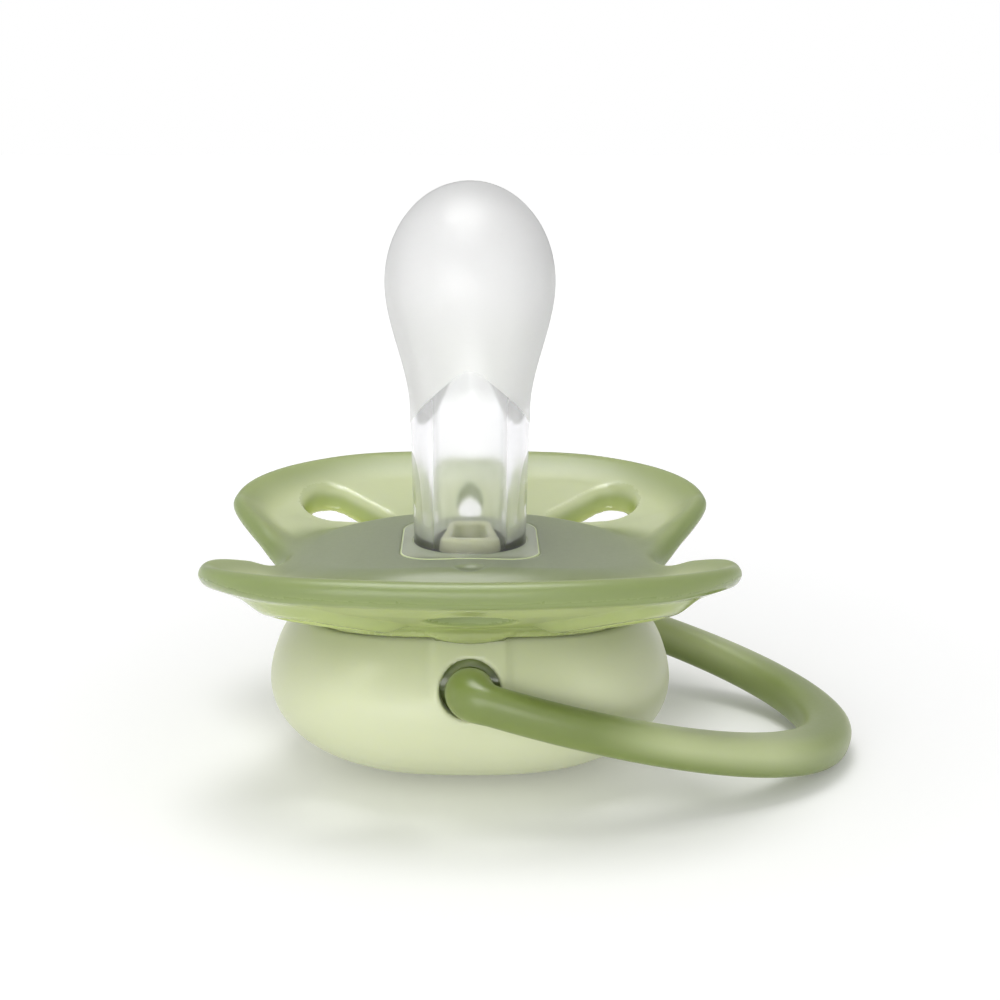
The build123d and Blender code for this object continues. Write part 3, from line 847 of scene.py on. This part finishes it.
def make_ring():
    half = ring_path()
    whole = half + [(u, -v, w, h, p) for u, v, w, h, p in reversed(half[:-1])]
    columns = 48
    angle = np.arange(columns) * 2 * math.pi / columns
    along = Vector((math.cos(RING_DROOP), 0, -math.sin(RING_DROOP)))
    normal = Vector((math.sin(RING_DROOP), 0, math.cos(RING_DROOP)))
    points = []
    tints = []
    centres = np.array([(u, v) for u, v, *_ in whole])
    for i, (u, v, width, height, power) in enumerate(whole):
        if min(i, len(whole) - 1 - i) < STRAIGHT_ROWS:
            tangent = np.array([0.0, 1.0])
        else:
            tangent = centres[i + 1] - centres[i - 1]
            tangent = tangent / np.linalg.norm(tangent)
        side = np.array([-tangent[1], tangent[0]])
        ux, uy = power_circle(angle, power)
        flat = np.array([u, v]) + np.outer(ux * width, side)
        up = uy * height
        for (pu, pv), pn in zip(flat, up):
            point = along * pu + normal * pn
            points.append((point.x, pv, point.z + HINGE_HEIGHT))
        # painted sheen: the upper face is painted pale, as if lit from above
        sheen_lost = SHEEN_LOSS * smooth_step(np.array(u), *SHEEN_FADES_OUT)
        outward = smooth_step(np.array(u), *SHEEN_FADES_IN) * (1 - sheen_lost)
        painted_sheen = smooth_step(uy, *SHEEN_SIDE) * outward
        tints.append(RING_TINT + painted_sheen[:, None] * (RING_TOP_PAINTED_SHEEN - RING_TINT))
    faces = grid_faces(len(whole), columns)
    made = make_mesh("ring_handle_bar", points, faces[:, ::-1])
    write_tint(made, np.concatenate(tints))
    return made


# ---- Materials ------------------------------------------------------------------------------------

PLASTIC_IOR = 1.49
SILICONE_IOR = 1.41


def new_material(name, settings):
    """A Principled material with constants on its own sockets; returns its parts."""
    material = bpy.data.materials.new(name)
    material.use_nodes = True
    nodes, links = material.node_tree.nodes, material.node_tree.links
    shader = nodes["Principled BSDF"]
    for key, value in settings.items():
        shader.inputs[key].default_value = value
    return material, nodes, links, shader


def add_surface_detail(nodes, links, shader, colours, colour_scale, grain_scale, grain_depth, roughness):
    """Faint cloudiness in colour, and a fine moulded grain in roughness and height."""
    place = nodes.new("ShaderNodeTexCoord")
    cloud = nodes.new("ShaderNodeTexNoise")
    cloud.inputs["Scale"].default_value = colour_scale
    cloud.inputs["Detail"].default_value = 3
    links.new(place.outputs["Object"], cloud.inputs["Vector"])
    ramp = nodes.new("ShaderNodeValToRGB")
    ramp.color_ramp.elements[0].position = 0.35
    ramp.color_ramp.elements[1].position = 0.65
    ramp.color_ramp.elements[0].color = (*colours[0], 1)
    ramp.color_ramp.elements[1].color = (*colours[1], 1)
    links.new(cloud.outputs["Fac"], ramp.inputs["Fac"])
    links.new(ramp.outputs["Color"], shader.inputs["Base Color"])
    grain = nodes.new("ShaderNodeTexNoise")
    grain.inputs["Scale"].default_value = grain_scale
    grain.inputs["Detail"].default_value = 2
    links.new(place.outputs["Object"], grain.inputs["Vector"])
    spread = nodes.new("ShaderNodeMapRange")
    spread.inputs["To Min"].default_value = roughness[0]
    spread.inputs["To Max"].default_value = roughness[1]
    links.new(grain.outputs["Fac"], spread.inputs["Value"])
    links.new(spread.outputs["Result"], shader.inputs["Roughness"])
    bump = nodes.new("ShaderNodeBump")
    bump.inputs["Strength"].default_value = 0.3
    bump.inputs["Distance"].default_value = grain_depth
    links.new(grain.outputs["Fac"], bump.inputs["Height"])
    links.new(bump.outputs["Normal"], shader.inputs["Normal"])


def green_plastic(name, colours, roughness):
    """Translucent green polypropylene."""
    settings = {
        "IOR": PLASTIC_IOR,
        "Subsurface Weight": 1.0,
        "Subsurface Radius": (1.0, 1.0, 0.75),
        "Subsurface Scale": 0.0035,
    }
    material, nodes, links, shader = new_material(name, settings)
    detail = {"colour_scale": 60, "grain_scale": 2600, "grain_depth": 0.00002, "roughness": roughness}
    add_surface_detail(nodes, links, shader, colours, **detail)
    return material


def tinted(material):
    """Multiply the cloudy colour by the tint that is written on the mesh, which carries painted light and
    shade as well as colour.
    """
    nodes, links = material.node_tree.nodes, material.node_tree.links
    tint_with_painted_light_and_shade = nodes.new("ShaderNodeAttribute")
    tint_with_painted_light_and_shade.attribute_name = "tint_with_painted_light_and_shade"
    product = nodes.new("ShaderNodeMix")
    product.data_type = "RGBA"
    product.blend_type = "MULTIPLY"
    # a colour mix uses inputs 6 and 7 and output 2 of this node
    product.inputs[0].default_value = 1.0
    links.new(nodes["Color Ramp"].outputs["Color"], product.inputs[6])
    links.new(tint_with_painted_light_and_shade.outputs["Color"], product.inputs[7])
    links.new(product.outputs[2], nodes["Principled BSDF"].inputs["Base Color"])


def write_tint(made, tint_with_painted_light_and_shade):
    """Store one colour for each vertex."""
    colours = np.concatenate([tint_with_painted_light_and_shade, np.ones((len(tint_with_painted_light_and_shade), 1))], 1).astype(np.float32)
    made.data.attributes.new("tint_with_painted_light_and_shade", "FLOAT_COLOR", "POINT").data.foreach_set("color", colours.ravel())


def tint_shield_with_painted_light(made):
    """Write the plastic's tint with painted light and shade: painted shade over the solid mound, painted
    light where the lobes are thin, a lighter underside, a darker rim side and dark wells in the oval holes.
    """
    points = np.empty(3 * len(made.data.vertices), np.float32)
    made.data.vertices.foreach_get("co", points)
    x, y, z = points.reshape(-1, 3).T / MM
    middle = from_middle(x, y)
    edge = shield_edge(x, y)
    upper = smooth_step(z - face_height(x, y), *UPPER_BAND)
    # painted shade over the solid mound, where no light comes through from below
    solid = ((1 - smooth_step(middle, *MOUND_SHADE_BAND)) * upper)[:, None]
    # painted light in the thin lobes, as if shining through them from below
    lobe_light = smooth_step(-edge, *LOBE_LIGHT_EDGE_BAND) * smooth_step(middle, *LOBE_LIGHT_SHARE_BAND) * upper
    # painted shade on the rim's side face, painted light on the underside
    side = smooth_step(edge, *EDGE_SHADE_BAND)[:, None]
    tint_with_painted_light_and_shade = RIM_TINT + (1 - upper[:, None]) * (UNDER_PAINTED_LIGHT - RIM_TINT)
    tint_with_painted_light_and_shade = tint_with_painted_light_and_shade + side * (EDGE_PAINTED_SHADE - tint_with_painted_light_and_shade)
    tint_with_painted_light_and_shade = tint_with_painted_light_and_shade + solid * (MOUND_PAINTED_SHADE - tint_with_painted_light_and_shade)
    tint_with_painted_light_and_shade = tint_with_painted_light_and_shade + lobe_light[:, None] * (LOBE_PAINTED_LIGHT - tint_with_painted_light_and_shade)
    # painted shade darkens the well of each oval hole
    oval = squircle(x, np.abs(y) - OVAL_Y, OVAL_HALF_X, OVAL_HALF_Y, 2.0)
    tint_with_painted_light_and_shade = tint_with_painted_light_and_shade + (1 - smooth_step(oval, *WELL_SHADE_BAND))[:, None] * (WELL_PAINTED_SHADE - tint_with_painted_light_and_shade)
    write_tint(made, tint_with_painted_light_and_shade)


def shield_slots(made):
    """Material of each face: 1 is the polished underside and holes, 2 the ears in the windows, with painted
    light, 0 the rest.
    """
    facing = np.empty(3 * len(made.data.polygons), np.float32)
    made.data.polygons.foreach_get("normal", facing)
    middle = np.empty_like(facing)
    made.data.polygons.foreach_get("center", middle)
    x, y, z = middle.reshape(-1, 3).T / MM
    in_window = (np.abs(x) < 3) & (z < EAR_ROOT_BOTTOM - 0.4) & (np.abs(y) > EAR_OUTER_Y)
    in_hole = (teardrop(x, y) < 0.2) & (np.abs(x) > 6)
    polished = (facing[2::3] < -0.2) | in_hole
    return np.where(in_window, 2, np.where(polished, 1, 0)).astype(np.int32)


def cream_plastic(name, colours):
    """Opaque pale polypropylene with a soft satin face."""
    settings = {
        "IOR": PLASTIC_IOR,
        "Subsurface Weight": 0.6,
        "Subsurface Radius": (1.0, 1.0, 0.6),
        "Subsurface Scale": 0.001,
    }
    material, nodes, links, shader = new_material(name, settings)
    detail = {"colour_scale": 40, "grain_scale": 2200, "grain_depth": 0.00002, "roughness": (0.36, 0.46)}
    add_surface_detail(nodes, links, shader, colours, **detail)
    return material


def silicone_with_painted_reflections():
    """Clear glossy silicone with painted reflections: its walls darken where they are seen on edge."""
    settings = {
        "IOR": SILICONE_IOR,
        "Transmission Weight": 1.0,
    }
    material, nodes, links, shader = new_material("clear_silicone", settings)
    detail = {"colour_scale": 80, "grain_scale": 900, "grain_depth": 0.00001, "roughness": (0.02, 0.05)}
    add_surface_detail(nodes, links, shader, CLEAR_COLOURS, **detail)
    facing = nodes.new("ShaderNodeLayerWeight")
    facing.inputs["Blend"].default_value = 0.5
    ramp = nodes["Color Ramp"].color_ramp
    # share of edge-on view and brightness there: a painted grey streak, then a painted dark outline
    stops = ((0.0, 1.0), (0.19, 0.98), (0.24, 0.80), (0.28, 0.84), (0.31, 0.98), (0.80, 0.97), (1.0, 0.5))
    for _ in stops[2:]:
        ramp.elements.new(0.5)
    for element, (place, level) in zip(ramp.elements, stops):
        element.position = place
        element.color = (level, level, min(1, level * 1.02), 1)
    links.new(facing.outputs["Facing"], nodes["Color Ramp"].inputs["Fac"])
    return material


def frosted_silicone():
    """Milky silicone with a velvet finish."""
    settings = {
        "IOR": SILICONE_IOR,
        "Transmission Weight": 0.5,
        "Subsurface Weight": 1.0,
        "Subsurface Radius": (1.0, 1.0, 1.0),
        "Subsurface Scale": 0.002,
    }
    material, nodes, links, shader = new_material("frosted_silicone", settings)
    detail = {"colour_scale": 50, "grain_scale": 3500, "grain_depth": 0.00002, "roughness": (0.32, 0.40)}
    add_surface_detail(nodes, links, shader, FROST_COLOURS, **detail)
    return material


def seat_silicone_painted_green():
    """The clear silicone seated in the shield, painted a dim green that stands in for the shield's green
    light and the shade in the seat.
    """
    settings = {
        "IOR": SILICONE_IOR,
        "Transmission Weight": 0.1,
        "Subsurface Weight": 1.0,
        "Subsurface Radius": (1.0, 1.0, 0.8),
        "Subsurface Scale": 0.002,
    }
    material, nodes, links, shader = new_material("seat_silicone_painted_green", settings)
    detail = {"colour_scale": 90, "grain_scale": 1500, "grain_depth": 0.00002, "roughness": (0.10, 0.18)}
    add_surface_detail(nodes, links, shader, SEAT_PAINTED_COLOURS, **detail)
    return material


def inner_silicone():
    """The wall of the cavity: clear silicone with a faint haze."""
    settings = {
        "IOR": SILICONE_IOR,
        "Transmission Weight": 0.88,
    }
    material, nodes, links, shader = new_material("inner_silicone", settings)
    detail = {"colour_scale": 80, "grain_scale": 900, "grain_depth": 0.00001, "roughness": (0.11, 0.17)}
    add_surface_detail(nodes, links, shader, HAZE_COLOURS, **detail)
    return material


# ---- Pieces ---------------------------------------------------------------------------------------

green = green_plastic("satin_polypropylene", CLOUD, (0.30, 0.40))
glossy_green = green_plastic("polished_polypropylene", CLOUD, (0.06, 0.10))
for material in (green, glossy_green):
    tinted(material)
# a copy of the green whose colour stands in for the light reaching the ears in the windows
ear_painted_green = green_plastic("ear_painted_light_polypropylene", EAR_WINDOW_PAINTED_COLOURS, (0.10, 0.20))
ring_green = green_plastic("ring_polypropylene", CLOUD, (0.30, 0.40))
tinted(ring_green)
ring_shader = ring_green.node_tree.nodes["Principled BSDF"]
ring_shader.inputs["Sheen Weight"].default_value = 0.08
ring_shader.inputs["Sheen Roughness"].default_value = 0.4
ring_shader.inputs["Sheen Tint"].default_value = (1.0, 1.0, 0.8, 1.0)
knob_cream = cream_plastic("knob_polypropylene", KNOB_COLOURS)
plug_cream = cream_plastic("plug_polypropylene", PLUG_COLOURS)

shield = make_shield()
tint_shield_with_painted_light(shield)
shield.data.materials.append(green)
shield.data.materials.append(glossy_green)
shield.data.materials.append(ear_painted_green)
shield.data.polygons.foreach_set("material_index", shield_slots(shield))
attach(shield, "soother_body")
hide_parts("shield")

teat = make_teat()
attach(teat, "soother_body")
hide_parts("teat")

plug = make_plug()
plug.data.materials.append(plug_cream)
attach(plug, "soother_body")
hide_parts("plug")

knob = make_knob()
knob.data.materials.append(knob_cream)
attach(knob, "soother_body")
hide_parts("knob")

ring = make_ring()
ring.data.materials.append(ring_green)
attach(ring, "ring_handle")
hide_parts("ring")


# ---- Floor, light and camera ------------------------------------------------------------------------

# millimetres, except the glow's distances, which the shader nodes take in metres
FLOOR_HALF = 900
GLOW_DISTANCE = (0.03, 0.25)
GLOW_STRENGTH = (0.09, 0.46)
DIFFUSE_WORLD = (0.55, 0.85)
GLOSSY_WORLD = (0.7, 1.3)
BRIGHT_SIDE = (-0.3, -1.0, 0.3)
PATCH_DIRECTION = (-0.15, -0.25, 1.0)
PATCH_COSINE = (0.86, 0.96)
PATCH_STRENGTH = 6.0
LAMP_TARGET = (0, 0, 20)
TOP_SOFTBOX_PLACE = (-30, -10, 420)
TOP_SOFTBOX_SIZE = (200, 200)
TOP_SOFTBOX_POWER = 0.6
FRONT_SOFTBOX_PLACE = (-80, -305, 62)
FRONT_SOFTBOX_SIZE = (240, 120)
FRONT_SOFTBOX_POWER = 0.42
CAMERA_PLACE = (0, -171.28, 62.01)
CAMERA_LOOKS_DOWN = math.radians(12.992)
CAMERA_LENS = 72.87
CAMERA_SHIFT = 0.03


def make_floor():
    half = FLOOR_HALF
    points = [(-half, -half, 0), (half, -half, 0), (half, half, 0), (-half, half, 0)]
    floor = make_mesh("floor", points, [(0, 1, 2, 3)])
    settings = {"Specular IOR Level": 0.1, "Emission Color": (1, 1, 1, 1)}
    material, nodes, links, shader = new_material("floor_paper", settings)
    detail = {"colour_scale": 8, "grain_scale": 400, "grain_depth": 0.00002, "roughness": (0.8, 0.9)}
    add_surface_detail(nodes, links, shader, PAPER_COLOURS, **detail)
    # the backdrop is lit by itself further out
    place = nodes.new("ShaderNodeTexCoord")
    distance = nodes.new("ShaderNodeVectorMath")
    distance.operation = "LENGTH"
    links.new(place.outputs["Object"], distance.inputs[0])
    glow = nodes.new("ShaderNodeMapRange")
    glow.inputs["From Min"].default_value, glow.inputs["From Max"].default_value = GLOW_DISTANCE
    glow.inputs["To Min"].default_value, glow.inputs["To Max"].default_value = GLOW_STRENGTH
    links.new(distance.outputs["Value"], glow.inputs["Value"])
    links.new(glow.outputs["Result"], shader.inputs["Emission Strength"])
    floor.data.materials.append(material)


def make_world():
    """White to the camera; as light, strongest from the front left, with a bright patch overhead."""
    world = bpy.data.worlds.new("studio")
    bpy.context.scene.world = world
    world.use_nodes = True
    nodes, links = world.node_tree.nodes, world.node_tree.links
    nodes["Background"].inputs["Color"].default_value = (1, 1, 1, 1)
    place = nodes.new("ShaderNodeTexCoord")
    toward = nodes.new("ShaderNodeVectorMath")
    toward.operation = "DOT_PRODUCT"
    toward.inputs[1].default_value = Vector(BRIGHT_SIDE).normalized()
    links.new(place.outputs["Generated"], toward.inputs[0])
    path = nodes.new("ShaderNodeLightPath")
    layers = []
    for low, high in (DIFFUSE_WORLD, GLOSSY_WORLD):
        level = nodes.new("ShaderNodeMapRange")
        level.inputs["From Min"].default_value = -1.0
        level.inputs["From Max"].default_value = 1.0
        level.inputs["To Min"].default_value = low
        level.inputs["To Max"].default_value = high
        links.new(toward.outputs["Value"], level.inputs["Value"])
        background = nodes.new("ShaderNodeBackground")
        links.new(level.outputs["Result"], background.inputs["Strength"])
        layers.append((level, background))
    (_, diffuse), (glossy_level, glossy) = layers
    above = nodes.new("ShaderNodeVectorMath")
    above.operation = "DOT_PRODUCT"
    above.inputs[1].default_value = Vector(PATCH_DIRECTION).normalized()
    links.new(place.outputs["Generated"], above.inputs[0])
    patch = nodes.new("ShaderNodeMapRange")
    patch.inputs["From Min"].default_value, patch.inputs["From Max"].default_value = PATCH_COSINE
    patch.inputs["To Max"].default_value = PATCH_STRENGTH
    links.new(above.outputs["Value"], patch.inputs["Value"])
    total = nodes.new("ShaderNodeMath")
    links.new(glossy_level.outputs["Result"], total.inputs[0])
    links.new(patch.outputs["Result"], total.inputs[1])
    links.new(total.outputs["Value"], glossy.inputs["Strength"])
    cast = nodes.new("ShaderNodeMixShader")
    links.new(path.outputs["Is Glossy Ray"], cast.inputs["Fac"])
    links.new(diffuse.outputs["Background"], cast.inputs[1])
    links.new(glossy.outputs["Background"], cast.inputs[2])
    seen = nodes.new("ShaderNodeMixShader")
    links.new(path.outputs["Is Camera Ray"], seen.inputs["Fac"])
    links.new(cast.outputs["Shader"], seen.inputs[1])
    links.new(nodes["Background"].outputs["Background"], seen.inputs[2])
    links.new(seen.outputs["Shader"], nodes["World Output"].inputs["Surface"])


def add_light(name, place, size, power):
    """A rectangular lamp that faces the soother."""
    data = bpy.data.lights.new(name, "AREA")
    data.shape = "RECTANGLE"
    data.size, data.size_y = size[0] * MM, size[1] * MM
    data.energy = power
    light = bpy.data.objects.new(name, data)
    light.location = Vector(place) * MM
    direction = (Vector(LAMP_TARGET) - Vector(place)).normalized()
    light.rotation_euler = direction.to_track_quat("-Z", "Y").to_euler()
    bpy.context.scene.collection.objects.link(light)


def make_camera():
    data = bpy.data.cameras.new("camera")
    data.sensor_width = 36
    data.lens = CAMERA_LENS
    data.shift_x = CAMERA_SHIFT
    data.clip_start, data.clip_end = 0.01, 20
    camera = bpy.data.objects.new("camera", data)
    camera.location = Vector(CAMERA_PLACE) * MM
    camera.rotation_euler = (math.pi / 2 - CAMERA_LOOKS_DOWN, 0, 0)
    bpy.context.scene.collection.objects.link(camera)
    bpy.context.scene.camera = camera


make_floor()
make_world()
add_light("top_softbox", TOP_SOFTBOX_PLACE, TOP_SOFTBOX_SIZE, TOP_SOFTBOX_POWER)
add_light("front_softbox", FRONT_SOFTBOX_PLACE, FRONT_SOFTBOX_SIZE, FRONT_SOFTBOX_POWER)
make_camera()
bpy.context.scene.view_settings.view_transform = "Standard"
